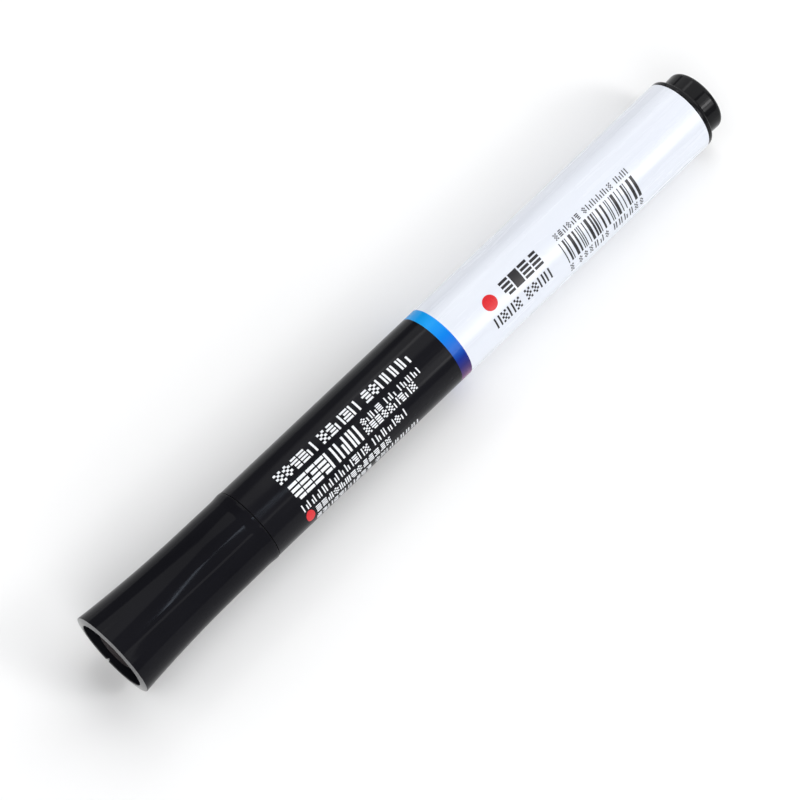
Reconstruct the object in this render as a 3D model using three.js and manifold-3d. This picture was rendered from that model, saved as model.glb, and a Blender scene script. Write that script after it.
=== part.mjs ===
// Capped whiteboard marker with a bullet nib, lying along X on z = 0, the cap's end towards -X.
// Lengths are millimetres. Each piece is an outline of (radius, station) points turned about the
// marker's long axis, where a station is the distance along the marker from the cap's end rim.
import * as THREE from "three";
import { mergeVertices } from "three/addons/utils/BufferGeometryUtils.js";
import Module from "manifold-3d";

// Driving dimensions
const LENGTH = 142.7;
const SIDES = 48; // flats round every turned piece, one of them facing straight down
const CURVE_STEPS = 8; // straight pieces in one curved stretch of an outline
const SEAM = 0.12; // gap where two pieces butt together
const FIT_GAP = 0.12; // radial gap where one piece plugs into another
const FILM_THICKNESS = 0.08;
const FILM_GAP = 0.02; // between a film and what it is wrapped on

// Every radius ends in R or r, and front and rear are stations
const cap = {
  mouth: 31.3,
  rimR: 8.15,
  rimSetback: 0.22, // of the rim's outer edge, behind the flat ring round the hollow
  rimFlatR: 6.85,
  flareEnd: 23, // where the flare has run out into the straight part
  straightR: 7.08,
  waist: { front: 29.4, r: 7.05 },
  lip: { front: 30.8, r: 7.17, edge: 0.12 },
  boreR: 6.2,
  hollowR: 6.58, // at the rim
  stopBead: { rear: 7.9, front: 7.4, rampFront: 6.8, height: 0.35 },
  notch: { width: 0.5, depth: 0.38, angle: THREE.MathUtils.degToRad(196) },
};
const innerCap = {
  bossR: 4,
  front: 0.55,
  rear: 20.2,
  endWall: 1.4,
  sideWall: 0.5,
  domeDepth: 0.8,
  cone: { front: 8.8, rear: 13.5 },
  sealR: 4.3,
  sealWall: 0.85,
  fins: { count: 6, tipR: 6.02, rootR: 3.7, front: 8.6, rear: 18.4, thickness: 0.8 },
};
const nib = { tip: 5.5, r: 2.25, noseLength: 4.2, rear: 52.8, tailTaper: 1.4 };
const holder = {
  nose: 12,
  noseWall: 0.45,
  coneRear: 14.8,
  neckFront: 15.4,
  neckRear: 20.5,
  neckR: 4.1,
  collarFront: 21,
  collarR: 5.95,
  bead: { front: 24.4, rear: 25.5, ramp: 0.3, height: 0.1 },
  flangeFront: 30.5,
  flangeR: 6.38,
  wall: 0.9,
  webRear: 22.9,
  guideRear: 36,
  chamfer: 0.6,
};
// The barrel and its film widen towards the tail, by the draft of a long moulded tube
const barrel = {
  front: cap.mouth + SEAM,
  rear: 137.6,
  frontR: 7.08, // over the printed film
  wall: 0.98,
  widening: 0.14,
};
const filmInnerR = barrel.frontR - FILM_THICKNESS;
const barrelOuterR = filmInnerR - FILM_GAP;
const barrelBoreR = barrelOuterR - barrel.wall;
const core = { front: 45.2, rear: 128.3, wrapR: 5.82 };
const plug = {
  front: 128.7,
  flangeR: barrel.frontR + barrel.widening - 0.03,
  flangeEdge: { station: 138.6, r: 7.02 },
  fillet: { station: 138.75, r: 5.88 }, // the middle control point of the hollow step to the waist
  waist: { station: 139.4, r: 5.9 },
  headR: 6.02,
  endEdge: 1,
  wall: 1.18,
  endWall: 1.3,
};

const wasm = await Module();
wasm.setup();

function solidFrom(geometry) {
  const bare = geometry.clone();
  bare.deleteAttribute("normal");
  bare.deleteAttribute("uv");
  const merged = mergeVertices(bare, 1e-4);
  return new wasm.Manifold(
    new wasm.Mesh({
      numProp: 3,
      vertProperties: merged.attributes.position.array,
      triVerts: new Uint32Array(merged.index.array),
    }),
  );
}

function geometryFrom(solid) {
  const mesh = solid.getMesh();
  const geometry = new THREE.BufferGeometry();
  geometry.setAttribute("position", new THREE.BufferAttribute(mesh.vertProperties, 3));
  geometry.setIndex(new THREE.BufferAttribute(mesh.triVerts, 1));
  geometry.computeVertexNormals();
  return geometry;
}

// A path through straight [radius, station] corners
function cornered(...corners) {
  const path = new THREE.Path();
  path.moveTo(...corners[0]);
  for (const corner of corners.slice(1)) path.lineTo(...corner);
  return path;
}

// Turns a closed outline into a solid of SIDES flats, each flat lying on the true round surface.
// A solid bar's profile runs from one point on the axis to the other, and a ring's back to its start.
function turned(outline) {
  const flatScale = 1 / Math.cos(Math.PI / SIDES);
  const points = outline.getPoints(CURVE_STEPS).map((p) => new THREE.Vector2(p.x * flatScale, p.y));
  if (THREE.ShapeUtils.isClockWise(points)) points.reverse();
  const touchesAxis = points.some((p) => p.x === 0);
  if (touchesAxis) {
    while (points[0].x !== 0 || points.at(-1).x !== 0) points.push(points.shift());
  } else {
    points.push(points[0].clone());
  }
  return new THREE.LatheGeometry(points, SIDES, Math.PI / SIDES);
}

function tube(outerR, innerR, front, rear, widening = 0) {
  return turned(
    cornered([outerR, front], [outerR + widening, rear], [innerR + widening, rear], [innerR, front]),
  );
}

// The outside is straight at the mouth and flares in a parabola to the rim, whose end face slopes
// back from a narrow flat ring. Inside, a step at the mouth clears the holder's flange, and the bore
// opens out past a small stop bead to the rim.
function capShell() {
  const { lip, stopBead, notch } = cap;
  const stepR = holder.flangeR + FIT_GAP;
  const wall = new THREE.Path();
  wall.moveTo(cap.rimFlatR, 0);
  wall.lineTo(cap.rimR, cap.rimSetback);
  wall.quadraticCurveTo(cap.straightR, cap.flareEnd / 2, cap.straightR, cap.flareEnd);
  wall.lineTo(cap.waist.r, cap.waist.front);
  wall.lineTo(lip.r, lip.front);
  wall.lineTo(lip.r, cap.mouth - lip.edge);
  wall.lineTo(lip.r - lip.edge, cap.mouth);
  wall.lineTo(stepR, cap.mouth);
  wall.lineTo(stepR, holder.flangeFront - SEAM);
  wall.lineTo(cap.boreR, holder.flangeFront - 2 * SEAM);
  wall.lineTo(cap.boreR, stopBead.rear);
  wall.lineTo(cap.boreR - stopBead.height, stopBead.rear);
  wall.lineTo(cap.boreR - stopBead.height, stopBead.front);
  wall.lineTo(cap.boreR + SEAM, stopBead.rampFront);
  wall.lineTo(cap.hollowR, 0);
  const cutter = new THREE.BoxGeometry(notch.width, 2 * notch.depth, cap.rimR);
  cutter.translate(0, 0, cap.rimR);
  cutter.rotateY(notch.angle);
  return geometryFrom(solidFrom(turned(wall)).subtract(solidFrom(cutter)));
}

// A cup that seals over the holder's neck, with its rounded end just inside the cap's rim, and fins
// that centre it in the shell and leave air ways between them.
function innerCapCup() {
  const { bossR, front, rear, cone, sealR, fins } = innerCap;
  const outerR = sealR + innerCap.sealWall;
  const hollowR = bossR - innerCap.sideWall;
  const hollowFront = front + innerCap.endWall;
  const coneInnerFront = cone.front + innerCap.sideWall;
  const cup = new THREE.Path();
  cup.moveTo(0, front);
  cup.quadraticCurveTo(bossR, front, bossR, front + innerCap.domeDepth);
  cup.lineTo(bossR, cone.front);
  cup.lineTo(outerR, cone.rear);
  cup.lineTo(outerR, rear);
  cup.lineTo(sealR, rear);
  cup.lineTo(sealR, cone.rear);
  cup.lineTo(hollowR, coneInnerFront);
  cup.lineTo(hollowR, hollowFront + innerCap.domeDepth);
  cup.quadraticCurveTo(hollowR, hollowFront, 0, hollowFront);
  let solid = solidFrom(turned(cup));
  const finDepth = fins.tipR - fins.rootR;
  for (let i = 0; i < fins.count; i++) {
    const fin = new THREE.BoxGeometry(fins.thickness, fins.rear - fins.front, finDepth);
    fin.translate(0, (fins.front + fins.rear) / 2, fins.rootR + finDepth / 2);
    fin.rotateY((2 * Math.PI * (i + 0.5)) / fins.count);
    solid = solid.add(solidFrom(fin));
  }
  // The bore is cut again, to clear it of the fins' roots
  const bore = turned(
    cornered([0, coneInnerFront], [hollowR, coneInnerFront], [sealR, cone.rear], [sealR, rear], [0, rear]),
  );
  return geometryFrom(solid.subtract(solidFrom(bore)));
}

// Nose cone, sealing neck, collar with a snap bead, stop flange and a skirt plugged into the
// barrel, with a guide tube for the nib inside.
function nibHolder() {
  const { bead, neckR, collarR, wall, chamfer } = holder;
  const guideR = nib.r + FIT_GAP;
  const skirtR = barrelBoreR - FIT_GAP;
  const skirtRear = core.front - 4 * SEAM;
  return turned(
    cornered(
      [guideR, holder.nose],
      [guideR + holder.noseWall, holder.nose],
      [neckR - bead.height, holder.coneRear],
      [neckR, holder.neckFront],
      [neckR, holder.neckRear],
      [neckR + chamfer, holder.collarFront],
      [collarR - chamfer, holder.collarFront],
      [collarR, holder.collarFront + chamfer],
      [collarR, bead.front],
      [collarR + bead.height, bead.front + bead.ramp],
      [collarR + bead.height, bead.rear - bead.ramp],
      [collarR, bead.rear],
      [collarR, holder.flangeFront],
      [holder.flangeR, holder.flangeFront],
      [holder.flangeR, cap.mouth],
      [skirtR, cap.mouth],
      [skirtR, skirtRear - chamfer],
      [skirtR - chamfer / 2, skirtRear],
      [skirtR - wall, skirtRear],
      [skirtR - wall, holder.webRear],
      [guideR + wall, holder.webRear],
      [guideR + wall, holder.guideRear],
      [guideR, holder.guideRear],
    ),
  );
}

// A round fibre bar with a bullet nose and a tapered tail that sits in the ink core
function fibreNib() {
  const noseRear = nib.tip + nib.noseLength;
  const bar = new THREE.Path();
  bar.moveTo(0, nib.tip);
  bar.bezierCurveTo(0.6 * nib.r, nib.tip, nib.r, nib.tip + 0.4 * nib.noseLength, nib.r, noseRear);
  bar.lineTo(nib.r, nib.rear - nib.tailTaper);
  bar.lineTo(nib.r / 2, nib.rear);
  bar.lineTo(0, nib.rear);
  return turned(bar);
}

// The ink-holding fibre rod, with a socket in its front end for the nib's tail
function inkCore() {
  const coreR = core.wrapR - FILM_THICKNESS - FILM_GAP;
  const socketR = nib.r + FIT_GAP;
  const socketEnd = nib.rear + FIT_GAP;
  return turned(
    cornered(
      [socketR, core.front],
      [coreR, core.front],
      [coreR, core.rear],
      [0, core.rear],
      [0, socketEnd],
      [socketR, socketEnd],
    ),
  );
}

// Skirt in the barrel's bore, a flange flush with the barrel, a step down to a waist, and a head
// that widens to a rounded edge round a flat end, moulded hollow from the front.
function tailPlug() {
  const { front, flangeR, flangeEdge, fillet, waist, headR, endEdge, endWall } = plug;
  const flangeFront = barrel.rear + SEAM;
  const skirtR = barrelBoreR + barrel.widening - FIT_GAP;
  const boreR = skirtR - plug.wall;
  const headBoreR = waist.r - plug.wall;
  const wall = new THREE.Path();
  wall.moveTo(skirtR - holder.chamfer / 2, front);
  wall.lineTo(skirtR, front + holder.chamfer);
  wall.lineTo(skirtR, flangeFront);
  wall.lineTo(flangeR, flangeFront);
  wall.quadraticCurveTo(flangeR, flangeEdge.station - SEAM, flangeEdge.r, flangeEdge.station);
  wall.quadraticCurveTo(fillet.r, fillet.station, waist.r, waist.station);
  wall.lineTo(headR, LENGTH - endEdge);
  wall.quadraticCurveTo(headR, LENGTH, headR - endEdge, LENGTH);
  wall.lineTo(0, LENGTH);
  wall.lineTo(0, LENGTH - endWall);
  wall.lineTo(headBoreR, LENGTH - endWall);
  wall.lineTo(headBoreR, flangeEdge.station);
  wall.lineTo(boreR, flangeFront);
  wall.lineTo(boreR, front);
  return turned(wall);
}

const look = {
  capBlack: { color: 0x17171b, roughness: 0.16, metalness: 0 },
  innerCapBlack: { color: 0x141418, roughness: 0.35, metalness: 0 },
  barrelWhite: { color: 0xe9eff6, roughness: 0.3, metalness: 0 },
  filmBlack: { color: 0x1d1d22, roughness: 0.28, metalness: 0 },
  holderWhite: { color: 0xe4e6e8, roughness: 0.4, metalness: 0 },
  nibFibre: { color: 0x1c1b20, roughness: 0.9, metalness: 0 },
  coreFibre: { color: 0x2b2a30, roughness: 0.95, metalness: 0 },
  wrapClear: { color: 0xcfd4d8, roughness: 0.25, metalness: 0 },
  plugBlack: { color: 0x151518, roughness: 0.14, metalness: 0 },
};

const marker = new THREE.Group();

function addPiece(name, geometry, finish) {
  const mesh = new THREE.Mesh(geometry, new THREE.MeshStandardMaterial(finish));
  mesh.name = name;
  marker.add(mesh);
}

const wrapInnerR = core.wrapR - FILM_THICKNESS;
addPiece("cap_shell", capShell(), look.capBlack);
addPiece("inner_cap", innerCapCup(), look.innerCapBlack);
addPiece("nib", fibreNib(), look.nibFibre);
addPiece("nib_holder", nibHolder(), look.holderWhite);
addPiece(
  "barrel",
  tube(barrelOuterR, barrelBoreR, barrel.front, barrel.rear, barrel.widening),
  look.barrelWhite,
);
addPiece(
  "printed_film",
  tube(barrel.frontR, filmInnerR, barrel.front, barrel.rear, barrel.widening),
  look.filmBlack,
);
addPiece("ink_core", inkCore(), look.coreFibre);
addPiece("core_wrap", tube(core.wrapR, wrapInnerR, core.front, core.rear), look.wrapClear);
addPiece("tail_plug", tailPlug(), look.plugBlack);

marker.rotation.z = -Math.PI / 2;
marker.position.set(-LENGTH / 2, 0, cap.rimR);

export default marker;
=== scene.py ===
import math
import random

import bmesh
import bpy
from mathutils import Matrix, Vector


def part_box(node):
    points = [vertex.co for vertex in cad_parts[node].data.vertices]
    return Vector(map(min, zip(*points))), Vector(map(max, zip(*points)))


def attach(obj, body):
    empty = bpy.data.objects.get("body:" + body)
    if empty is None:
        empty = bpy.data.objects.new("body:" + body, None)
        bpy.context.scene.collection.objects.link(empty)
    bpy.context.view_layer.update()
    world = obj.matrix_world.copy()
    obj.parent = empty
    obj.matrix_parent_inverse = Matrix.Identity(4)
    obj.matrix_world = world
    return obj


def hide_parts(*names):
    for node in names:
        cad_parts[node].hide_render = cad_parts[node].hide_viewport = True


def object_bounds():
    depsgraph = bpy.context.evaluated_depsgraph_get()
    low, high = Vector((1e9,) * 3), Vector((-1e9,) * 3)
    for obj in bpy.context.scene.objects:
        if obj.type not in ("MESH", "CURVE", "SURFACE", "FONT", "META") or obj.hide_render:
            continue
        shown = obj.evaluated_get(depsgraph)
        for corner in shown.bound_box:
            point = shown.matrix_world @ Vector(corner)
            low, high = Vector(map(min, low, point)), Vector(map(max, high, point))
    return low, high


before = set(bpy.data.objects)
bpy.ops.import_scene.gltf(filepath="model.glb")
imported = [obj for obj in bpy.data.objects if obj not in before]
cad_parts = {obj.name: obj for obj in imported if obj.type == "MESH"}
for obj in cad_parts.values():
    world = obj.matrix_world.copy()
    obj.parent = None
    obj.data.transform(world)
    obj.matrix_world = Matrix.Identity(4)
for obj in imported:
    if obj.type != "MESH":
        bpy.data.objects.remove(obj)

# A capped whiteboard marker lying along X, its cap end towards -X. The camera, the lights and the
# floor are placed in metres, and the pieces are drawn in millimetres. A station is the distance
# from the cap's rim along the marker, and an angle round it is measured from straight up, positive
# towards +Y.
MM = 0.001
CAD_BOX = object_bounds()
CAP_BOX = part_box("cap_shell")
CAP_END_X = CAD_BOX[0].x
AXIS_Z = (CAP_BOX[0].z + CAP_BOX[1].z) / 2

SEGMENTS = 192  # faces round a turned piece
FILLET_STEPS = 5
FILLET_REACH = 0.45  # the most of a side that one fillet takes
SUPPORT = 0.03  # from the end of a fillet to the next ring, which keeps flat faces flat
SUPPORT_ROOM = 4 * SUPPORT  # a shorter stretch between two fillets gets no such ring
ON_AXIS = 1e-9  # a smaller radius is a point on the axis
SHARP_ANGLE = math.radians(35)
PRINT_SEED = 11


def station(x):
    return (x - CAP_END_X) / MM


def radius(node):
    """A CAD node's largest radius. Its flats lie on the true round surface, so its box is as wide
    as the true piece."""
    low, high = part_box(node)
    return (high.y - low.y) / 2 / MM


def front(node):
    return station(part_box(node)[0].x)


def rear(node):
    return station(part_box(node)[1].x)


RIM_R = radius("cap_shell")
WIDENING = 0.14  # of the barrel and its film, from the cap to the tail
FILM_FRONT_R = radius("printed_film") - WIDENING
FILM_FRONT = front("printed_film")
FILM_REAR = rear("printed_film")
FILM_THICKNESS = 0.08
CAP_MOUTH = rear("cap_shell")
LENGTH = rear("tail_plug")
SEAM = 0.12  # gap where two pieces butt together
FIT_GAP = 0.12  # radial gap where one piece plugs into another

BLACK_END = 74.94  # stations where the film's printed zones end
BLUE_END = 77.33


def film_radius(s):
    return FILM_FRONT_R + WIDENING * (s - FILM_FRONT) / (FILM_REAR - FILM_FRONT)


# ---------------------------------------------------------------- camera, floor and light

VIEW_AZIMUTH = math.radians(-46.04)
VIEW_ELEVATION = math.radians(66.84)
VIEW_DISTANCE = 0.4626
VIEW_AIM = Vector((CAP_END_X + 64.74 * MM, -2.37 * MM, AXIS_Z))
VIEW_LENS = 123.9  # focal length in millimetres, on Blender's 36 mm sensor


def direction(azimuth, elevation):
    """The unit vector from a target to a viewer. Azimuth 0 is a viewer on the -Y side."""
    return Vector(
        (
            math.sin(azimuth) * math.cos(elevation),
            -math.cos(azimuth) * math.cos(elevation),
            math.sin(elevation),
        )
    )


def add_camera():
    data = bpy.data.cameras.new("camera")
    data.lens = VIEW_LENS
    data.clip_start = 0.01
    data.clip_end = 20
    camera = bpy.data.objects.new("camera", data)
    back = direction(VIEW_AZIMUTH, VIEW_ELEVATION)
    camera.location = VIEW_AIM + back * VIEW_DISTANCE
    camera.rotation_mode = "QUATERNION"
    camera.rotation_quaternion = (-back).to_track_quat("-Z", "Y")
    bpy.context.scene.collection.objects.link(camera)
    bpy.context.scene.camera = camera


MIDDLE = Vector((0, 0, AXIS_Z))
CAP_MIDDLE = Vector((CAP_END_X + CAP_MOUTH / 2 * MM, 0, AXIS_Z))
NEUTRAL = (1, 1, 1)
BLUISH = (0.72, 0.84, 1.0)
LENGTHWAYS = (1, 0, 0)
CROSSWAYS = (-0.16, 0.95, 0.30)
ASLANT = (1, 0.7, 0.2)


def add_light(
    name, target, towards, distance, size, radiance, shape="RECTANGLE", colour=NEUTRAL, along=LENGTHWAYS
):
    """An area light at a distance from its target in the direction `towards`, facing it. Its first
    side runs as nearly as it can in the direction `along`, and radiance is how bright it looks."""
    area = size[0] * size[1] * (math.pi / 4 if shape == "ELLIPSE" else 1)
    data = bpy.data.lights.new(name, "AREA")
    data.shape = shape
    data.size, data.size_y = size
    data.energy = radiance * math.pi * area
    data.color = colour
    away = Vector(towards).normalized()
    side = (Vector(along) - away * away.dot(Vector(along))).normalized()
    light = bpy.data.objects.new(name, data)
    light.location = target + away * distance
    light.rotation_mode = "QUATERNION"
    light.rotation_quaternion = Matrix((side, away.cross(side), away)).transposed().to_quaternion()
    light.visible_camera = False
    bpy.context.scene.collection.objects.link(light)


def add_lights():
    """Three softboxes stand at the cap's end. The far one, the panels and the strips stand on the
    tail's side, where the glossy black parts mirror them."""
    add_light("softbox_left", MIDDLE, (-0.55, -0.66, 0.50), 0.9, (0.8, 0.8), 1.95)
    add_light("softbox_right", MIDDLE, (-0.55, 0.66, 0.50), 0.9, (0.7, 0.7), 0.7)
    add_light("softbox_top", MIDDLE, (-0.50, -0.05, 0.86), 0.9, (0.6, 0.6), 1.25)
    add_light("softbox_far", CAP_MIDDLE, (0.774, 0.352, 0.503), 0.9, (1.53, 1.53), 1.6, shape="ELLIPSE")
    add_light("strip_long", CAP_MIDDLE, (0.29, -0.595, 0.76), 1.0, (0.26, 0.08), 2.2, along=ASLANT)
    add_light("panel_left", MIDDLE, (0.43, -0.745, 0.565), 1.03, (0.36, 0.44), 2.4)
    add_light("strip_low", MIDDLE, (0.38, -0.855, 0.43), 1.0, (0.22, 0.13), 3.4)
    add_light("panel_tail", MIDDLE, (0.48, -0.66, 0.66), 1.05, (0.24, 0.85), 2.6)
    add_light("strip_tail", MIDDLE, (0.46, -0.72, 0.592), 1.04, (0.2, 0.13), 12)
    add_light("panel_right", MIDDLE, (0.43, 0.60, 0.735), 1.03, (0.36, 0.13), 3.4)
    add_light(
        "strip_cross",
        CAP_MIDDLE,
        (0.245, -0.27, 0.925),
        1.0,
        (0.30, 0.012),
        17,
        colour=BLUISH,
        along=CROSSWAYS,
    )


def add_world():
    """A dim, slightly blue surround."""
    world = bpy.data.worlds.new("studio")
    world.use_nodes = True
    background = world.node_tree.nodes["Background"]
    background.inputs["Color"].default_value = (0.97, 0.98, 1.0, 1)
    background.inputs["Strength"].default_value = 0.15
    bpy.context.scene.world = world


# ---------------------------------------------------------------- materials

# Scales of the noise textures, in cycles per metre
CLOUD = 140
WAVE = 260
WEAR = 900
FIBRE = 5200
MOULD_GRAIN = 9000


def srgb(r, g, b):
    """A colour given as 0 to 255 display values, in the linear values that a shader takes."""

    def linear(c):
        c /= 255
        return c / 12.92 if c <= 0.04045 else ((c + 0.055) / 1.055) ** 2.4

    return (linear(r), linear(g), linear(b), 1)


def grey(level):
    """A grey that is very slightly blue."""
    return srgb(level, level, level + 2)


class Shader:
    """A material's node tree with one Principled BSDF, and short ways to add nodes to it."""

    def __init__(self, name, roughness, ior=1.46, specular=0.5):
        self.material = bpy.data.materials.new(name)
        self.material.use_nodes = True
        self.tree = self.material.node_tree
        self.bsdf = self.tree.nodes["Principled BSDF"]
        self.bsdf.inputs["Roughness"].default_value = roughness
        self.bsdf.inputs["IOR"].default_value = ior
        self.bsdf.inputs["Specular IOR Level"].default_value = specular
        self.coordinates = self.tree.nodes.new("ShaderNodeTexCoord").outputs["Object"]

    def link(self, output, socket):
        self.tree.links.new(output, socket)

    def drawn_out(self, along):
        """Object coordinates scaled along X: a small scale gives long grain along the marker."""
        mapping = self.tree.nodes.new("ShaderNodeMapping")
        mapping.inputs["Scale"].default_value = (along, 1, 1)
        self.link(self.coordinates, mapping.inputs["Vector"])
        return mapping.outputs["Vector"]

    def noise(self, vector, scale, detail, rough=0.5):
        node = self.tree.nodes.new("ShaderNodeTexNoise")
        node.inputs["Scale"].default_value = scale
        node.inputs["Detail"].default_value = detail
        node.inputs["Roughness"].default_value = rough
        self.link(vector, node.inputs["Vector"])
        return node.outputs["Fac"]

    def ramp(self, value, stops):
        node = self.tree.nodes.new("ShaderNodeValToRGB")
        elements = node.color_ramp.elements
        while len(elements) < len(stops):
            elements.new(0.5)
        for element, (position, colour) in zip(elements, stops):
            element.position = position
            element.color = colour
        self.link(value, node.inputs["Fac"])
        return node.outputs["Color"]

    def remap(self, value, low, high, new_low, new_high):
        node = self.tree.nodes.new("ShaderNodeMapRange")
        node.inputs["From Min"].default_value = low
        node.inputs["From Max"].default_value = high
        node.inputs["To Min"].default_value = new_low
        node.inputs["To Max"].default_value = new_high
        self.link(value, node.inputs["Value"])
        return node.outputs["Result"]

    def math(self, operation, first, second):
        """A Math node. Its second input is a number or another node's output."""
        node = self.tree.nodes.new("ShaderNodeMath")
        node.operation = operation
        self.link(first, node.inputs[0])
        if isinstance(second, float):
            node.inputs[1].default_value = second
        else:
            self.link(second, node.inputs[1])
        return node.outputs["Value"]

    def bump(self, height, distance, after=None):
        """Bends the surface by a height map, on top of an earlier bump where one is given."""
        node = self.tree.nodes.new("ShaderNodeBump")
        node.inputs["Distance"].default_value = distance
        self.link(height, node.inputs["Height"])
        if after is not None:
            self.link(after, node.inputs["Normal"])
        self.link(node.outputs["Normal"], self.bsdf.inputs["Normal"])
        return node.outputs["Normal"]

    def colour(self, output):
        self.link(output, self.bsdf.inputs["Base Color"])

    def roughness(self, output):
        self.link(output, self.bsdf.inputs["Roughness"])


def moulded_plastic(name, dark, light, rough, ior=1.46, specular=0.5, wave=0.012, grain=0.0):
    """Injection-moulded plastic: cloudy colour between two tones, handling marks in the gloss, a
    slight waviness that bends reflections, and an optional fine moulded grain. rough is the least
    and the most roughness, and wave and grain are bump heights in millimetres."""
    shader = Shader(name, rough[0], ior, specular)
    cloud = shader.noise(shader.drawn_out(0.35), CLOUD, detail=4)
    shader.colour(shader.ramp(cloud, [(0.3, dark), (0.7, light)]))
    wear = shader.noise(shader.drawn_out(0.08), WEAR, detail=5, rough=0.65)
    shader.roughness(shader.remap(wear, 0.3, 0.75, rough[0], rough[1]))
    surface = shader.bump(shader.noise(shader.drawn_out(0.25), WAVE, detail=1), wave * MM)
    if grain:
        shader.bump(shader.noise(shader.coordinates, MOULD_GRAIN, detail=2), grain * MM, after=surface)
    return shader.material


def floor_material():
    """A matt, nearly even pale grey."""
    shader = Shader("pale_floor", 0.9, specular=0.1)
    tone = shader.noise(shader.coordinates, 6, detail=2)
    shader.colour(shader.ramp(tone, [(0.3, (0.90, 0.90, 0.90, 1)), (0.7, (0.92, 0.92, 0.92, 1))]))
    return shader.material


def blue_band_material():
    """The band's print runs from light blue on one side of the barrel through blue to purple."""
    shader = Shader("blue_band_print", 0.2, ior=1.2)
    split = shader.tree.nodes.new("ShaderNodeSeparateXYZ")
    shader.link(shader.coordinates, split.inputs["Vector"])
    up = shader.math("SUBTRACT", split.outputs["Z"], AXIS_Z)
    angle = shader.math("ARCTAN2", split.outputs["Y"], up)
    turn = shader.remap(angle, -math.pi, math.pi, 0, 1)

    def at(degrees, colour):
        return ((degrees + 180) / 360, srgb(*colour))

    stops = [
        at(-160, (16, 116, 206)),
        at(-105, (136, 70, 118)),
        at(-82, (82, 50, 102)),
        at(-66, (42, 40, 110)),
        at(-54, (20, 44, 136)),
        at(-36, (34, 98, 194)),
        at(-17, (16, 120, 220)),
        at(14, (6, 153, 236)),
        at(70, (18, 144, 208)),
        at(160, (16, 116, 206)),
    ]
    shader.colour(shader.ramp(turn, stops))
    wear = shader.noise(shader.drawn_out(0.1), WEAR, detail=4)
    shader.roughness(shader.remap(wear, 0.3, 0.7, 0.16, 0.26))
    return shader.material


def ink_material(name, colour):
    """A screened ink: slightly uneven in tone and gloss."""
    shader = Shader(name, 0.35, ior=1.4)
    patchy = shader.noise(shader.coordinates, 2600, detail=3)
    shade = (*(0.86 * c for c in colour[:3]), 1)
    shader.colour(shader.ramp(patchy, [(0.35, shade), (0.6, colour)]))
    shader.roughness(shader.remap(patchy, 0.3, 0.7, 0.29, 0.43))
    return shader.material


def fibre_material(name, dark, light):
    """Bonded fibres that run along the marker, wet with ink."""
    shader = Shader(name, 0.7)
    strands = shader.noise(shader.drawn_out(0.05), FIBRE, detail=4, rough=0.7)
    shader.colour(shader.ramp(strands, [(0.3, dark), (0.75, light)]))
    shader.roughness(shader.remap(strands, 0.3, 0.7, 0.55, 0.85))
    shader.bump(strands, 0.06 * MM)
    return shader.material


def clear_film_material():
    """Thin clear plastic, crinkled and a little milky."""
    shader = Shader("clear_film", 0.2)
    shader.bsdf.inputs["Transmission Weight"].default_value = 0.6
    crinkle = shader.noise(shader.drawn_out(0.3), 700, detail=3)
    shader.colour(shader.ramp(crinkle, [(0.3, (0.60, 0.64, 0.68, 1)), (0.7, (0.70, 0.74, 0.78, 1))]))
    shader.roughness(shader.remap(crinkle, 0.3, 0.7, 0.15, 0.3))
    shader.bump(crinkle, 0.02 * MM)
    return shader.material


# ---------------------------------------------------------------- turned pieces

def arc_corner(before, corner, after, fillet):
    """Points of a round of radius `fillet` put on an outline's corner, with a support point just
    outside each end of it where the sides are long enough."""
    corner = Vector(corner)
    to_before = Vector(before) - corner
    to_after = Vector(after) - corner
    turn = to_before.angle(to_after)
    longest = FILLET_REACH * min(to_before.length, to_after.length)
    setback = min(fillet / math.tan(turn / 2), longest)
    start = corner + to_before.normalized() * setback
    end = corner + to_after.normalized() * setback
    points = []
    if to_before.length - setback > SUPPORT_ROOM:
        points.append(corner + to_before.normalized() * (setback + SUPPORT))
    for i in range(FILLET_STEPS + 1):
        t = i / FILLET_STEPS
        # A rational quadratic curve follows the true arc between the two tangent points
        weight = math.sin(turn / 2)
        blend = (1 - t) ** 2 + 2 * t * (1 - t) * weight + t * t
        point = (1 - t) ** 2 * start + 2 * t * (1 - t) * weight * corner + t * t * end
        points.append(point / blend)
    if to_after.length - setback > SUPPORT_ROOM:
        points.append(corner + to_after.normalized() * (setback + SUPPORT))
    return points


def rounded(corners, closed=True):
    """An outline's points from its corners. A corner is (radius, station), or
    (radius, station, fillet) where it has a round of that radius."""
    points = []
    count = len(corners)
    for i, corner in enumerate(corners):
        fillet = corner[2] if len(corner) > 2 else 0
        inside = closed or 0 < i < count - 1
        if fillet and inside:
            before, after = corners[i - 1][:2], corners[(i + 1) % count][:2]
            points.extend(arc_corner(before, corner[:2], after, fillet))
        else:
            points.append(Vector(corner[:2]))
    return points


def curve_between(start, control, end, steps):
    """Corners along a quadratic curve that bends towards a control point, without its end."""
    corners = []
    for i in range(steps):
        t = i / steps
        corners.append(
            tuple(
                (1 - t) ** 2 * a + 2 * t * (1 - t) * b + t * t * c
                for a, b, c in zip(start, control, end)
            )
        )
    return corners


def place(r, s, angle):
    """A point at radius r and station s, in millimetres, and an angle in radians from straight up."""
    return (CAP_END_X + s * MM, r * MM * math.sin(angle), AXIS_Z + r * MM * math.cos(angle))


def make_object(name, vertices, faces, materials, face_materials=None):
    """A smooth-shaded object, with sharp edges where faces meet at more than SHARP_ANGLE.
    face_materials gives each face's material by its index."""
    mesh = bpy.data.meshes.new(name)
    mesh.from_pydata(vertices, [], faces)
    for material in materials:
        mesh.materials.append(material)
    if face_materials:
        mesh.polygons.foreach_set("material_index", face_materials)
    mesh.validate()
    mesh.shade_smooth()
    mesh.set_sharp_from_angle(angle=SHARP_ANGLE)
    obj = bpy.data.objects.new(name, mesh)
    bpy.context.scene.collection.objects.link(obj)
    return obj


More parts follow.
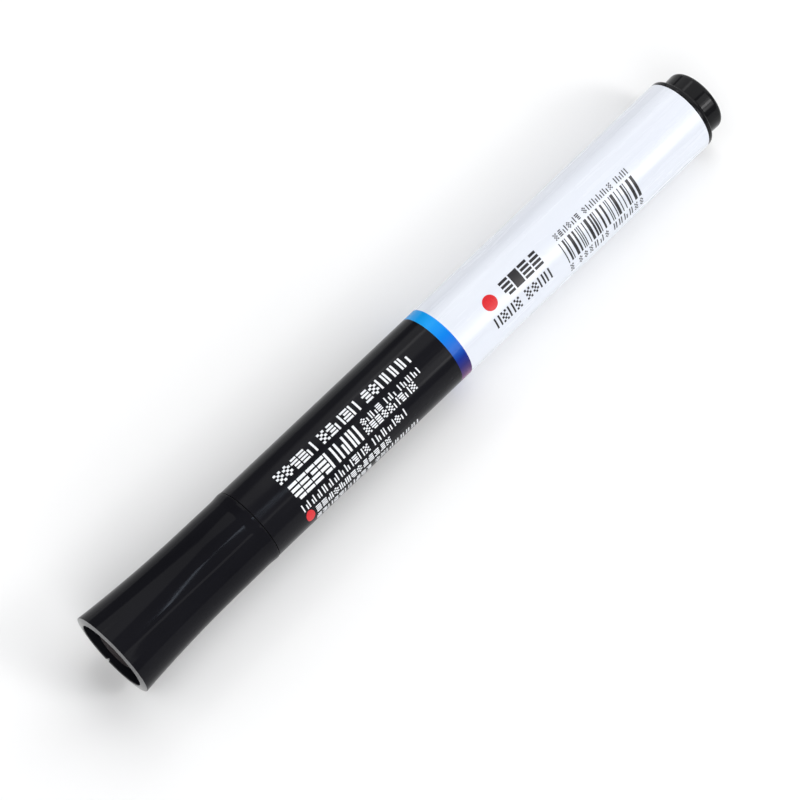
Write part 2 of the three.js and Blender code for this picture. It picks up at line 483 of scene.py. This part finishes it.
def recalculate_normals(obj):
    mesh = bmesh.new()
    mesh.from_mesh(obj.data)
    bmesh.ops.recalc_face_normals(mesh, faces=mesh.faces)
    mesh.to_mesh(obj.data)
    mesh.free()


def signed_area(points):
    """An outline's area, positive if it runs anticlockwise with radius to the right, station up."""
    total = 0
    for a, b in zip(points, points[1:] + points[:1]):
        total += a.x * b.y - b.x * a.y
    return total / 2


def revolve(name, outline, materials, zone_of=None, notch=None):
    """Turns an outline about the marker's axis. It is a ring's closed section, or a solid bar's half
    section with both ends on the axis. zone_of picks a material's index from a face's middle
    station, and notch takes a point's station and angle and returns its new station."""
    points = list(outline)
    if signed_area(points) > 0:
        points.reverse()
    closed = all(p.x > ON_AXIS for p in points)
    if not closed:
        while points[0].x > ON_AXIS or points[-1].x > ON_AXIS:
            points.append(points.pop(0))
    vertices, rings = [], []
    for point in points:
        if point.x <= ON_AXIS:
            rings.append([len(vertices)] * SEGMENTS)
            vertices.append(place(0, point.y, 0))
            continue
        ring = []
        for k in range(SEGMENTS):
            angle = 2 * math.pi * k / SEGMENTS
            s = notch(point.y, angle) if notch else point.y
            ring.append(len(vertices))
            vertices.append(place(point.x, s, angle))
        rings.append(ring)
    faces, zones = [], []
    pairs = list(zip(range(len(points)), range(1, len(points))))
    if closed:
        pairs.append((len(points) - 1, 0))
    for i, j in pairs:
        zone = zone_of((points[i].y + points[j].y) / 2) if zone_of else 0
        for k in range(SEGMENTS):
            m = (k + 1) % SEGMENTS
            # A ring on the axis gives the same corner twice, and the face is a triangle
            corners = list(dict.fromkeys((rings[i][k], rings[j][k], rings[j][m], rings[i][m])))
            if len(corners) > 2:
                faces.append(corners)
                zones.append(zone)
    return make_object(name, vertices, faces, materials, zones)


def finish_piece(piece, body, slot, *nodes):
    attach(piece, body)
    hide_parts(*nodes)


# ---------------------------------------------------------------- the cap

RIM_SETBACK = 0.22  # of the rim's outer edge, behind the flat ring round the hollow
RIM_FLAT_R = 6.85
FLARE_END = 23
FLARE_STEPS = 24
CAP_WAIST = (7.05, 29.4, 8)  # (radius, station, fillet) where the straight part meets the lip
CAP_LIP_R = 7.17
CAP_LIP_FRONT = 30.8
CAP_BORE_R = 6.2
CAP_MOUTH_BORE_R = 6.5
CAP_MOUTH_STEP = 30.38  # station where the wider bore at the mouth ends
STOP_BEAD = (6.8, 7.4, 7.9)  # stations where its ramp starts, its ramp ends and it ends
STOP_BEAD_HEIGHT = 0.35
HOLLOW_R = 6.58  # at the rim
NOTCH_ANGLE = math.radians(164)
NOTCH_WIDTH = 0.5
NOTCH_DEPTH = 0.38


def rim_notch(s, angle):
    """A small notch pressed into the rim's edge."""
    if s > NOTCH_DEPTH:
        return s
    across = abs(math.remainder(angle - NOTCH_ANGLE, 2 * math.pi)) * RIM_R
    return NOTCH_DEPTH if across < NOTCH_WIDTH / 2 else s


def cap_shell(black, rim):
    """The outer cap: a flare from the mouth to the open rim. Its narrow end face gets a lighter grey, a
    painted reflection of the bright floor.
    """
    rim_edge = (RIM_R, RIM_SETBACK)
    flare_end = (FILM_FRONT_R, FLARE_END)
    flare = curve_between(rim_edge, (FILM_FRONT_R, FLARE_END / 2), flare_end, FLARE_STEPS)
    ramp_start, ramp_end, bead_end = STOP_BEAD
    bead_r = CAP_BORE_R - STOP_BEAD_HEIGHT
    outline = [
        (RIM_FLAT_R, 0, 0.1),
        (*rim_edge, 0.08),
        *flare[1:],
        flare_end,
        CAP_WAIST,
        (CAP_LIP_R, CAP_LIP_FRONT, 0.8),
        (CAP_LIP_R, CAP_MOUTH, 0.12),
        (CAP_MOUTH_BORE_R, CAP_MOUTH, 0.06),
        (CAP_MOUTH_BORE_R, CAP_MOUTH_STEP),
        (CAP_BORE_R, CAP_MOUTH_STEP - SEAM),
        (CAP_BORE_R, bead_end),
        (bead_r, bead_end, 0.06),
        (bead_r, ramp_end, 0.06),
        (CAP_BORE_R + SEAM, ramp_start),
        (HOLLOW_R, 0, 0.15),
    ]

    # The rim's narrow end face takes the lighter grey, which is painted reflection
    def zone(s):
        return 1 if s < RIM_SETBACK else 0

    piece = revolve("cap_shell_fine", rounded(outline), [black, rim], zone_of=zone, notch=rim_notch)
    finish_piece(piece, "cap", "cap_black", "cap_shell")


INNER_CAP_WALL = 0.5
BOSS_R = 4.0  # of the closed end, which shows as a round boss in the hollow
BOSS_DOME = 0.8
BOSS_WALL = 1.4
SEAL_R = 4.3
SEAL_WALL = 0.85
CONE_FRONT = 8.8
CONE_REAR = 13.5
FIN_COUNT = 6
FIN_STATIONS = (8.6, 18.4)
FIN_THICKNESS = 0.8
FIN_ROOT = 0.2  # depth of its root below the boss's outside
FIN_BEVEL = 0.15


def inner_cap(material):
    """The cup that seals over the nib holder's neck, and the fins that centre it in the shell."""
    nose, end = front("inner_cap"), rear("inner_cap")
    hollow_r = BOSS_R - INNER_CAP_WALL
    hollow_front = nose + BOSS_WALL
    hollow_end = (0, hollow_front)
    seal_outer_r = SEAL_R + SEAL_WALL
    dome_edge = (BOSS_R, nose + BOSS_DOME)
    dome = curve_between((0, nose), (BOSS_R, nose), dome_edge, 12)
    hollow_edge = (hollow_r, hollow_front + BOSS_DOME)
    hollow = curve_between(hollow_edge, (hollow_r, hollow_front), hollow_end, 8)
    outline = [
        *dome,
        dome_edge,
        (BOSS_R, CONE_FRONT, 1),
        (seal_outer_r, CONE_REAR, 1),
        (seal_outer_r, end, 0.2),
        (SEAL_R, end, 0.2),
        (SEAL_R, CONE_REAR, 0.5),
        (hollow_r, CONE_FRONT + INNER_CAP_WALL, 0.5),
        *hollow,
        hollow_end,
    ]
    piece = revolve("inner_cap_fine", rounded(outline, closed=False), [material])
    finish_piece(piece, "cap", "inner_cap_black", "inner_cap")
    for i in range(FIN_COUNT):
        fin = inner_cap_fin(f"inner_cap_fin_{i + 1}", 2 * math.pi * (i + 0.5) / FIN_COUNT, material)
        finish_piece(fin, "cap", "inner_cap_black", "inner_cap")


def inner_cap_fin(name, angle, material):
    """A plate that stands out from the axis at an angle, with its outer edges bevelled."""
    root_r, tip_r = BOSS_R - FIN_ROOT, radius("inner_cap")
    fin_front, fin_rear = FIN_STATIONS
    half = FIN_THICKNESS / 2
    rows = [(-half, FIN_BEVEL), (FIN_BEVEL - half, 0), (half - FIN_BEVEL, 0), (half, FIN_BEVEL)]
    vertices, faces = [], []
    for across, inset in rows:
        for r, s in (
            (root_r, fin_front + inset),
            (tip_r - inset, fin_front + inset),
            (tip_r - inset, fin_rear - inset),
            (root_r, fin_rear - inset),
        ):
            x, y, z = place(r, s, angle)
            shift = across * MM
            vertices.append((x, y + shift * math.cos(angle), z - shift * math.sin(angle)))
    for i in range(len(rows) - 1):
        for k in range(4):
            m = (k + 1) % 4
            faces.append((4 * i + k, 4 * i + m, 4 * i + 4 + m, 4 * i + 4 + k))
    last = 4 * (len(rows) - 1)
    faces.append((3, 2, 1, 0))
    faces.append((last, last + 1, last + 2, last + 3))
    plate = make_object(name, vertices, faces, [material])
    recalculate_normals(plate)
    return plate


# ---------------------------------------------------------------- barrel, front end and tail

BORE_R = 6.0  # of the barrel at the cap
SKIRT_CHAMFER = 0.6
BLACK_FRONT_EDGE = 0.2  # how far the black print shows on the barrel's front end


def barrel(white, black):
    """The white tube. The black print runs on over its front edge."""
    rear_r = radius("barrel")
    outline = [
        (rear_r - WIDENING, FILM_FRONT, 0.15),
        (rear_r, FILM_REAR, 0.1),
        (BORE_R + WIDENING, FILM_REAR, 0.1),
        (BORE_R, FILM_FRONT, 0.1),
    ]

    def zone(s):
        return 1 if s < FILM_FRONT + BLACK_FRONT_EDGE else 0

    piece = revolve("barrel_fine", rounded(outline), [white, black], zone_of=zone)
    finish_piece(piece, "barrel_assembly", "barrel_white", "barrel")


def printed_film(black, blue, white):
    """The film over the barrel, in its three printed zones."""
    outline = [
        (FILM_FRONT_R, FILM_FRONT, 0.05),
        (film_radius(BLACK_END), BLACK_END),
        (film_radius(BLUE_END), BLUE_END),
        (film_radius(FILM_REAR), FILM_REAR, 0.06),
        (film_radius(FILM_REAR) - FILM_THICKNESS, FILM_REAR),
        (FILM_FRONT_R - FILM_THICKNESS, FILM_FRONT),
    ]

    def zone(s):
        if s < BLACK_END:
            return 0
        return 1 if s < BLUE_END else 2

    piece = revolve("printed_film_fine", rounded(outline), [black, blue, white], zone_of=zone)
    finish_piece(piece, "barrel_assembly", "film_print", "printed_film")


NOSE_WALL = 0.45
NOSE_CONE_R = 4.0
NOSE_CONE_LENGTH = 2.8
NECK_R = 4.1
NECK_START = 3.4  # behind the nose
NECK_END = 0.5  # before the collar
COLLAR_R = 5.95
COLLAR_FRONT = 21
COLLAR_CHAMFER = 0.6
SNAP_BEAD = (3.4, 3.7, 4.2, 4.5)  # its ramp, top, slope and end, behind the collar's front
SNAP_BEAD_HEIGHT = 0.1
HOLDER_FLANGE_FRONT = 30.5
HOLDER_WALL = 0.9
WEB_REAR = 22.9
GUIDE_REAR = 36


def nib_holder(material):
    """Nose cone, neck, collar with a snap bead, stop flange, skirt and the nib's guide tube."""
    nose, end = front("nib_holder"), rear("nib_holder")
    flange_r = radius("nib_holder")
    guide_r = radius("nib") + FIT_GAP
    guide_outer_r = guide_r + HOLDER_WALL
    skirt_r = BORE_R - FIT_GAP
    skirt_inner_r = skirt_r - HOLDER_WALL
    bead_ramp, bead_top, bead_slope, bead_end = (COLLAR_FRONT + distance for distance in SNAP_BEAD)
    bead_r = COLLAR_R + SNAP_BEAD_HEIGHT
    outline = [
        (guide_r, nose, 0.12),
        (guide_r + NOSE_WALL, nose, 0.18),
        (NOSE_CONE_R, nose + NOSE_CONE_LENGTH, 0.8),
        (NECK_R, nose + NECK_START, 0.6),
        (NECK_R, COLLAR_FRONT - NECK_END, 0.3),
        (NECK_R + COLLAR_CHAMFER, COLLAR_FRONT, 0.2),
        (COLLAR_R - COLLAR_CHAMFER, COLLAR_FRONT, 0.3),
        (COLLAR_R, COLLAR_FRONT + COLLAR_CHAMFER, 0.3),
        (COLLAR_R, bead_ramp, 0.3),
        (bead_r, bead_top, 0.3),
        (bead_r, bead_slope, 0.3),
        (COLLAR_R, bead_end, 0.3),
        (COLLAR_R, HOLDER_FLANGE_FRONT, 0.08),
        (flange_r, HOLDER_FLANGE_FRONT, 0.1),
        (flange_r, CAP_MOUTH, 0.1),
        (skirt_r, CAP_MOUTH, 0.05),
        (skirt_r, end - SKIRT_CHAMFER),
        (skirt_r - SKIRT_CHAMFER / 2, end),
        (skirt_inner_r, end),
        (skirt_inner_r, WEB_REAR),
        (guide_outer_r, WEB_REAR),
        (guide_outer_r, GUIDE_REAR),
        (guide_r, GUIDE_REAR),
    ]
    piece = revolve("nib_holder_fine", rounded(outline), [material])
    finish_piece(piece, "barrel_assembly", "holder_white", "nib_holder")


NIB_NOSE = 4.4
NIB_NOSE_STEPS = 16
NIB_NOSE_POWERS = (2.2, 1.9)  # of its superellipse, along the nib and across it
NIB_TAIL_TAPER = 1.4


def nib(material):
    """A round fibre bar with a bullet nose and a tapered tail."""
    tip, end, r = front("nib"), rear("nib"), radius("nib")
    along, across = NIB_NOSE_POWERS
    nose = []
    for i in range(NIB_NOSE_STEPS):
        t = i / NIB_NOSE_STEPS
        nose.append((r * (1 - (1 - t) ** along) ** (1 / across), tip + NIB_NOSE * t))
    outline = [
        *nose,
        (r, tip + NIB_NOSE),
        (r, end - NIB_TAIL_TAPER, 0.3),
        (r / 2, end, 0.3),
        (0, end),
    ]
    piece = revolve("nib_fine", rounded(outline, closed=False), [material])
    finish_piece(piece, "barrel_assembly", "nib_fibre", "nib")


PLUG_EDGE = (7.02, 138.6)  # (radius, station) of the flange's rear edge
PLUG_FILLET = (5.88, 138.75)  # control point of the hollow step from there to the waist
PLUG_WAIST = (5.9, 139.4)
PLUG_FLANGE_STRAIGHT = 0.5  # of the flange, before it rounds off to its rear edge
PLUG_HEAD_R = 6.02
PLUG_END_EDGE = 1.0
PLUG_WALL = 1.18
PLUG_END_WALL = 1.3
GATE_R = 0.95  # of the dimple that the mould's gate leaves in the end
GATE_SLOPE = 0.2  # width of its sloping side
GATE_DEPTH = 0.12


def tail_plug(material):
    """Skirt in the barrel, flange flush with it, a step down to a waist, and a rounded head."""
    flange_r = radius("tail_plug")
    flange_front = FILM_REAR + SEAM
    flange_rear = PLUG_EDGE[1]
    flange_bend = (flange_r, flange_rear - SEAM)
    flange_straight_end = (flange_r, flange_front + PLUG_FLANGE_STRAIGHT)
    skirt_r = BORE_R + WIDENING - FIT_GAP
    skirt_bore_r = skirt_r - PLUG_WALL
    skirt_front = front("tail_plug")
    head_bore_r = PLUG_WAIST[0] - PLUG_WALL
    head_bore_end = LENGTH - PLUG_END_WALL
    end_face_edge = (PLUG_HEAD_R - PLUG_END_EDGE, LENGTH)
    head_edge = (PLUG_HEAD_R, LENGTH - PLUG_END_EDGE)
    outline = [
        (0, LENGTH - GATE_DEPTH),
        (GATE_R - GATE_SLOPE, LENGTH - GATE_DEPTH, 0.06),
        (GATE_R, LENGTH, 0.08),
        *curve_between(end_face_edge, (PLUG_HEAD_R, LENGTH), head_edge, 10),
        head_edge,
        *curve_between(PLUG_WAIST, PLUG_FILLET, PLUG_EDGE, 14),
        *curve_between(PLUG_EDGE, flange_bend, flange_straight_end, 6),
        (flange_r, flange_front, 0.05),
        (skirt_r, flange_front),
        (skirt_r, skirt_front + SKIRT_CHAMFER),
        (skirt_r - SKIRT_CHAMFER / 2, skirt_front),
        (skirt_bore_r, skirt_front),
        (skirt_bore_r, flange_front),
        (head_bore_r, flange_rear),
        (head_bore_r, head_bore_end),
        (0, head_bore_end),
    ]
    piece = revolve("tail_plug_fine", rounded(outline, closed=False), [material])
    finish_piece(piece, "barrel_assembly", "plug_black", "tail_plug")


# ---------------------------------------------------------------- the print

INK_PROUD = 0.012  # height of the ink over the film
INK_SUNK = 0.01  # depth of a mark's underside in the film
ARC_STEP = 2.0  # degrees in one facet of a printed mark
DISC_RINGS = 4
DISC_SIDES = 32


class PrintSheet:
    """Gathers the marks of one ink, each a thin closed patch that follows the barrel's curve."""

    def __init__(self, name, material):
        self.name = name
        self.material = material
        self.vertices = []
        self.faces = []

    def point(self, height, s, angle):
        self.vertices.append(place(film_radius(s) + height, s, angle))

    def bar(self, s0, s1, a0, a1):
        """A mark between two stations and two angles in degrees."""
        steps = max(1, math.ceil(abs(a1 - a0) / ARC_STEP))
        first = len(self.vertices)
        for i in range(steps + 1):
            angle = math.radians(a0 + (a1 - a0) * i / steps)
            for height in (INK_PROUD, -INK_SUNK):
                self.point(height, s0, angle)
                self.point(height, s1, angle)
        self.faces.append((first, first + 1, first + 3, first + 2))
        for i in range(steps):
            a = first + 4 * i
            b = a + 4
            self.faces += [
                (a, b, b + 1, a + 1),
                (a + 2, a + 3, b + 3, b + 2),
                (a, a + 2, b + 2, b),
                (a + 1, b + 1, b + 3, a + 3),
            ]
        last = first + 4 * steps
        self.faces.append((last, last + 2, last + 3, last + 1))

    def disc(self, s, angle, disc_r, stretch=1.0):
        """A spot in rings, so that it follows the curve. stretch is its size round the barrel over
        its size along it."""
        outer_rings = []
        for height in (INK_PROUD, -INK_SUNK):
            centre = len(self.vertices)
            self.point(height, s, math.radians(angle))
            inner = [centre] * DISC_SIDES
            for i in range(DISC_RINGS):
                ring_r = disc_r * (i + 1) / DISC_RINGS
                ring = []
                for k in range(DISC_SIDES):
                    t = 2 * math.pi * k / DISC_SIDES
                    ring.append(len(self.vertices))
                    around = ring_r * stretch * math.sin(t) / film_radius(s)
                    self.point(height, s + ring_r * math.cos(t), math.radians(angle) + around)
                self.stitch(inner, ring)
                inner = ring
            outer_rings.append(inner)
        self.stitch(*outer_rings)

    def stitch(self, ring, other):
        for k in range(DISC_SIDES):
            m = (k + 1) % DISC_SIDES
            self.faces.append(tuple(dict.fromkeys((ring[k], other[k], other[m], ring[m]))))

    def finish(self):
        piece = make_object(self.name, self.vertices, self.faces, [self.material])
        recalculate_normals(piece)
        finish_piece(piece, "barrel_assembly", "film_print", "printed_film")


# Each kind of dummy mark fills the space between two stations and two angles. All take the same
# arguments, so that a line can pick among them.
POST_PITCH = 1.8  # in widths of a post
SHORT_POST_GAP = 0.35  # the part of its height that a short post leaves out
RUNG_COUNT = 4
RUNG_FILL = 0.64  # of the pitch between two rungs
RUNG_INSETS = [0, 0, 0.25]  # of the full length, left out of a rung at one end


def posts(sheet, rng, s0, s1, a0, a1, stroke):
    """Upright strokes, of which one may be short."""
    count = max(2, round((s1 - s0) / (POST_PITCH * stroke)))
    short = rng.randrange(2 * count)
    for k in range(count):
        s = s0 + (s1 - s0 - stroke) * k / (count - 1)
        low = SHORT_POST_GAP if k == short else 0
        sheet.bar(s, s + stroke, a0 + (a1 - a0) * low, a1)


def rungs(sheet, rng, s0, s1, a0, a1, stroke):
    """A stack of level dashes of mixed lengths."""
    pitch = (a1 - a0) / (RUNG_COUNT - 1 + RUNG_FILL)
    for k in range(RUNG_COUNT):
        inset = rng.choice(RUNG_INSETS) * (s1 - s0)
        sheet.bar(s0 + inset, s1, a0 + pitch * k, a0 + pitch * (k + RUNG_FILL))


def chequers(sheet, rng, s0, s1, a0, a1, stroke):
    """Small oblongs set like a chequerboard."""
    rows, columns = 5, 3
    first = rng.randrange(2)
    for i in range(rows):
        for k in range(columns):
            if (i + k + first) % 2:
                low = a0 + (a1 - a0) * i / rows
                left = s0 + (s1 - s0) * k / columns
                sheet.bar(left, left + (s1 - s0) / columns, low, low + (a1 - a0) / rows)


def block(sheet, rng, s0, s1, a0, a1, stroke):
    """One solid oblong."""
    sheet.bar(s0, s1, a0, a1)


WORD_GAP = 0.6  # of a mark's pitch
BAR_UNITS = 95  # narrowest bars that would fit side by side in a bar pattern


def dummy_line(sheet, rng, span, angles, words, styles, gap=0.2, stroke=0.24):
    """A line of dummy marks in place of writing. span is its two stations and angles its top and
    bottom in degrees. words gives the number of marks in each word, gap is the part of a mark's
    pitch that stays bare, and stroke is the width of a post."""
    pitch = (span[1] - span[0]) / (sum(words) + WORD_GAP * (len(words) - 1))
    s = span[0]
    for word in words:
        for _ in range(word):
            style = rng.choice(styles)
            style(sheet, rng, s, s + pitch * (1 - gap), *angles, stroke)
            s += pitch
        s += WORD_GAP * pitch


def bar_pattern(sheet, rng, span, angles):
    """Upright bars of mixed widths that encode nothing."""
    unit = (span[1] - span[0]) / BAR_UNITS
    s = span[0]
    while s < span[1] - 4 * unit:
        width = rng.choice([1, 1, 2, 2, 3]) * unit
        sheet.bar(s, s + width, *angles)
        s += width + rng.choice([1, 1, 2, 3]) * unit


def add_print(white_ink, black_ink, red_ink):
    """White lines on the black zone, black ones on the white zone, and a red spot in each."""
    rng = random.Random(PRINT_SEED)
    small = [rungs, posts, chequers, posts]
    bold = [posts, rungs, posts, chequers]
    white = PrintSheet("print_white", white_ink)
    dummy_line(white, rng, (38.2, 69.2), (8.6, -8.3), [5, 5, 6], bold, 0.14, 0.38)
    dummy_line(white, rng, (38.7, 48.8), (-16, -40.8), [5], [rungs, posts, rungs], 0.1, 0.44)
    dummy_line(white, rng, (49.1, 54.3), (-16, -40.8), [3], [posts], 0.16, 0.44)
    dummy_line(white, rng, (55.2, 69.0), (-17.4, -27), [4, 2, 4], small)
    dummy_line(white, rng, (54.9, 67.0), (-28.6, -40.2), [9], small)
    dummy_line(white, rng, (38.4, 62.8), (-47.4, -60), [12, 6], small)
    dummy_line(white, rng, (40.5, 58.2), (-66, -78.5), [13], small)
    dummy_line(white, rng, (40.2, 64.4), (-84, -96), [10, 8], small)
    white.finish()

    red = PrintSheet("print_red", red_ink)
    red.disc(39.1, -73.5, 0.9, 1.55)
    red.disc(86.0, -23.7, 1.42)
    red.finish()

    black = PrintSheet("print_black", black_ink)
    dummy_line(black, rng, (89.2, 98.4), (-12.4, -35.3), [4], [rungs, block, chequers], 0.14)
    dummy_line(black, rng, (84.6, 98.5), (-44.3, -61.5), [4, 4], [posts, chequers], 0.22, 0.34)
    dummy_line(black, rng, (102.3, 120.7), (-16, -25.3), [6, 7, 3], small, 0.3, 0.2)
    bar_pattern(black, rng, (102.1, 121.1), (-29.8, -64.8))
    dummy_line(black, rng, (102.1, 121), (-68.7, -83), [1, 6, 6], [posts, chequers], 0.42, 0.24)
    black.finish()


# ---------------------------------------------------------------- everything in place

FLOOR_REACH = 3  # metres from the origin to each side


def add_floor():
    low, high = -FLOOR_REACH, FLOOR_REACH
    corners = [(low, low, 0), (high, low, 0), (high, high, 0), (low, high, 0)]
    floor = make_object("floor", corners, [(0, 1, 2, 3)], [floor_material()])


def finish_cad_node(name, material):
    """The nodes that never show keep their CAD shape and get a finished material."""
    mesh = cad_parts[name].data
    mesh.materials.clear()
    mesh.materials.append(material)


add_camera()
add_lights()
add_world()
add_floor()

# A low IOR keeps the mirrored lights faint on the glossy blacks
cap_black = moulded_plastic(
    "cap_gloss_black", srgb(18, 18, 22), srgb(24, 24, 28), (0.04, 0.08), ior=1.14, wave=0.001
)
# The rim's end face is black plastic given a lighter grey base: painted reflection of the bright floor, on
# top of its real gloss
rim_painted_reflection = moulded_plastic("cap_rim_painted_reflection", grey(64), grey(78), (0.1, 0.2), ior=1.5, wave=0.004)
inner_black = moulded_plastic(
    "inner_cap_black", srgb(26, 18, 20), srgb(33, 24, 27), (0.45, 0.6), ior=1.15, specular=0.2, grain=0.004
)
plug_black = moulded_plastic("plug_gloss_black", grey(17), grey(24), (0.06, 0.12), ior=1.18, wave=0.002)
film_black = moulded_plastic(
    "film_black", srgb(19, 19, 23), srgb(26, 26, 30), (0.1, 0.18), ior=1.17, wave=0.002
)
film_white = moulded_plastic(
    "film_white", srgb(217, 221, 230), srgb(222, 226, 234), (0.2, 0.32), wave=0.002
)
barrel_white = moulded_plastic("barrel_white", srgb(226, 232, 240), srgb(236, 240, 246), (0.25, 0.4))
holder_white = moulded_plastic(
    "holder_white", srgb(222, 226, 230), srgb(232, 235, 238), (0.3, 0.45), grain=0.003
)

cap_shell(cap_black, rim_painted_reflection)
inner_cap(inner_black)
barrel(barrel_white, film_black)
printed_film(film_black, blue_band_material(), film_white)
nib_holder(holder_white)
nib(fibre_material("nib_fibre", grey(12), grey(38)))
tail_plug(plug_black)
add_print(
    ink_material("ink_white", srgb(236, 238, 242)),
    ink_material("ink_black", srgb(38, 36, 40)),
    ink_material("ink_red", srgb(214, 24, 34)),
)
finish_cad_node("ink_core", fibre_material("core_fibre", grey(16), grey(52)))
finish_cad_node("core_wrap", clear_film_material())

bpy.context.scene.view_settings.view_transform = "Standard"
